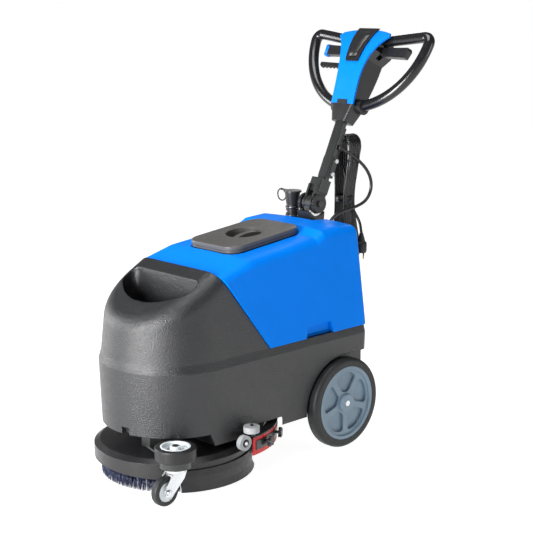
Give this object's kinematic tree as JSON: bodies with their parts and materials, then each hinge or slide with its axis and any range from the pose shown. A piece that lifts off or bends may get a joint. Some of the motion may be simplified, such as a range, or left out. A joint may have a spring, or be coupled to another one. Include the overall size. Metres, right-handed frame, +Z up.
{
  "type": "floor scrubber machine",
  "caption": "Walk-behind floor scrubber with round brush deck, raised curved squeegee, stacked water tanks and a tilting D-loop handle.",
  "frame": {"origin": "on the floor at the middle of the machine in plan", "axes": "+Z up, -Y the way the machine travels, +X its left side"},
  "size_m": [0.48, 1.0069, 1.1413],
  "materials": {
    "charcoal_tank": "orange-peel satin",
    "blue_tank": "soft gloss",
    "lid_plastic": "fine grain satin",
    "black_plastic": "satin",
    "gloss_black": "gloss",
    "head_blue": "soft gloss",
    "hub_grey": "satin",
    "roller_grey": "satin",
    "tyre_rubber": "matt",
    "black_rubber": "matt",
    "red_rubber": "satin",
    "bristle_navy": "filaments",
    "black_steel": "satin",
    "zinc_steel": "zinc plated",
    "chrome": "bright",
    "white_plastic": "satin",
    "motor_alu": "cast",
    "cord_rubber": "satin"
  },
  "bodies": {
    "machine": {"solution_tank": "charcoal_tank", "vacuum_motor": "motor_alu", "chassis": "black_steel", "axle": "zinc_steel", "brush_cover": "black_plastic", "brush_motor": "motor_alu", "splash_skirt_left": "black_rubber", "splash_skirt_right": "black_rubber", "caster_arm": "black_steel", "bumper_hub": "white_plastic", "lift_rods": "zinc_steel", "handle_post": "black_steel", "toothed_racks": "chrome"},
    "tank": {"recovery_tank": "blue_tank", "suction_standpipe": "black_plastic", "drain_hose": "black_rubber"},
    "lid": {"tank_lid": "lid_plastic", "lid_gasket": "black_rubber"},
    "cap": {"drain_cap": "black_plastic"},
    "wheel_left": {"wheel_tyre_left": "tyre_rubber", "wheel_hub_left": "hub_grey"},
    "wheel_right": {"wheel_tyre_right": "tyre_rubber", "wheel_hub_right": "hub_grey"},
    "brush": {"brush_shaft": "zinc_steel", "brush_disc": "black_plastic", "brush_bristles": "bristle_navy"},
    "bumper": {"bumper_roller": "black_rubber"},
    "caster": {"caster_fork": "zinc_steel", "caster_axle": "zinc_steel"},
    "caster_wheel": {"caster_hub": "white_plastic", "caster_tyre": "tyre_rubber"},
    "squeegee": {"squeegee_body": "black_plastic", "squeegee_front_blade": "black_rubber", "squeegee_rear_blade": "red_rubber", "squeegee_strap": "black_steel", "squeegee_knobs": "black_plastic"},
    "roller_flat_left": {"guide_roller_flat_left": "roller_grey"},
    "roller_flat_right": {"guide_roller_flat_right": "roller_grey"},
    "roller_edge_left": {"guide_roller_edge_left": "roller_grey"},
    "roller_edge_right": {"guide_roller_edge_right": "roller_grey"},
    "handle": {"hinge_bolt": "black_steel", "handle_fork": "black_steel", "toothed_discs": "black_plastic", "column_tube": "black_steel", "cord_hook": "black_steel", "hook_bolts": "zinc_steel", "head_collar": "black_plastic", "handle_loop": "gloss_black", "head_cover": "head_blue", "head_panel": "black_plastic", "head_housing": "gloss_black", "head_pins": "zinc_steel", "handle_lead": "cord_rubber", "mains_cord": "cord_rubber", "cord_hank": "cord_rubber", "cord_plug": "black_rubber", "cord_glands": "black_rubber"},
    "trigger_left": {"trigger_left": "black_plastic"},
    "trigger_right": {"trigger_right": "black_plastic"},
    "lever": {"adjuster_lever": "black_plastic"}
  },
  "joints": [
    {"name": "tank_lift", "type": "slide", "parent": "machine", "child": "tank", "axis": [0, 0, 1], "range_m": [0, 0.15]},
    {"name": "lid_lift", "type": "slide", "parent": "tank", "child": "lid", "axis": [0, 0, 1], "range_m": [0, 0.12]},
    {"name": "cap_pull", "type": "slide", "parent": "tank", "child": "cap", "axis": [0, 0, 1], "range_m": [0, 0.03]},
    {"name": "wheel_left_spin", "type": "hinge", "parent": "machine", "child": "wheel_left", "pos_m": [0.192, 0.168, 0.127], "axis": [1, 0, 0], "continuous": true},
    {"name": "wheel_right_spin", "type": "hinge", "parent": "machine", "child": "wheel_right", "pos_m": [-0.192, 0.168, 0.127], "axis": [1, 0, 0], "continuous": true},
    {"name": "brush_spin", "type": "hinge", "parent": "machine", "child": "brush", "pos_m": [0, -0.284, 0.038], "axis": [0, 0, 1], "continuous": true},
    {"name": "bumper_spin", "type": "hinge", "parent": "machine", "child": "bumper", "pos_m": [0.188, -0.4305, 0.129], "axis": [0, 0, 1], "continuous": true},
    {"name": "caster_swivel", "type": "hinge", "parent": "machine", "child": "caster", "pos_m": [0.188, -0.4305, 0.09], "axis": [0, 0, 1], "range_deg": [-50, 150]},
    {"name": "caster_wheel_spin", "type": "hinge", "parent": "caster", "child": "caster_wheel", "pos_m": [0.188, -0.466, 0.0375], "axis": [1, 0, 0], "continuous": true},
    {"name": "squeegee_lift", "type": "slide", "parent": "machine", "child": "squeegee", "axis": [0, 0, -1], "range_m": [0, 0.066]},
    {"name": "roller_flat_left_spin", "type": "hinge", "parent": "squeegee", "child": "roller_flat_left", "pos_m": [0.219, -0.202, 0.143], "axis": [0, 0, 1], "continuous": true},
    {"name": "roller_flat_right_spin", "type": "hinge", "parent": "squeegee", "child": "roller_flat_right", "pos_m": [-0.219, -0.202, 0.143], "axis": [0, 0, 1], "continuous": true},
    {"name": "roller_edge_left_spin", "type": "hinge", "parent": "squeegee", "child": "roller_edge_left", "pos_m": [0.219, -0.231, 0.113], "axis": [1, 0, 0], "continuous": true},
    {"name": "roller_edge_right_spin", "type": "hinge", "parent": "squeegee", "child": "roller_edge_right", "pos_m": [-0.219, -0.231, 0.113], "axis": [1, 0, 0], "continuous": true},
    {"name": "handle_tilt", "type": "hinge", "parent": "machine", "child": "handle", "pos_m": [0, 0.2385, 0.657], "axis": [1, 0, 0], "range_deg": [-10, 25]},
    {"name": "trigger_left_squeeze", "type": "hinge", "parent": "handle", "child": "trigger_left", "pos_m": [0.057, 0.46329, 1.07518], "axis": [0, -0.9063, 0.4226], "range_deg": [0, 6], "stiffness_Nm_per_rad": 3, "springref_deg": -2.86},
    {"name": "trigger_right_squeeze", "type": "hinge", "parent": "handle", "child": "trigger_right", "pos_m": [-0.057, 0.46329, 1.07518], "axis": [0, 0.9063, -0.4226], "range_deg": [0, 6], "stiffness_Nm_per_rad": 3, "springref_deg": -2.86},
    {"name": "lever_squeeze", "type": "hinge", "parent": "handle", "child": "lever", "pos_m": [-0.052, 0.44216, 1.02986], "axis": [0, 0.9063, -0.4226], "range_deg": [0, 10], "stiffness_Nm_per_rad": 2, "springref_deg": -2.86}
  ]
}
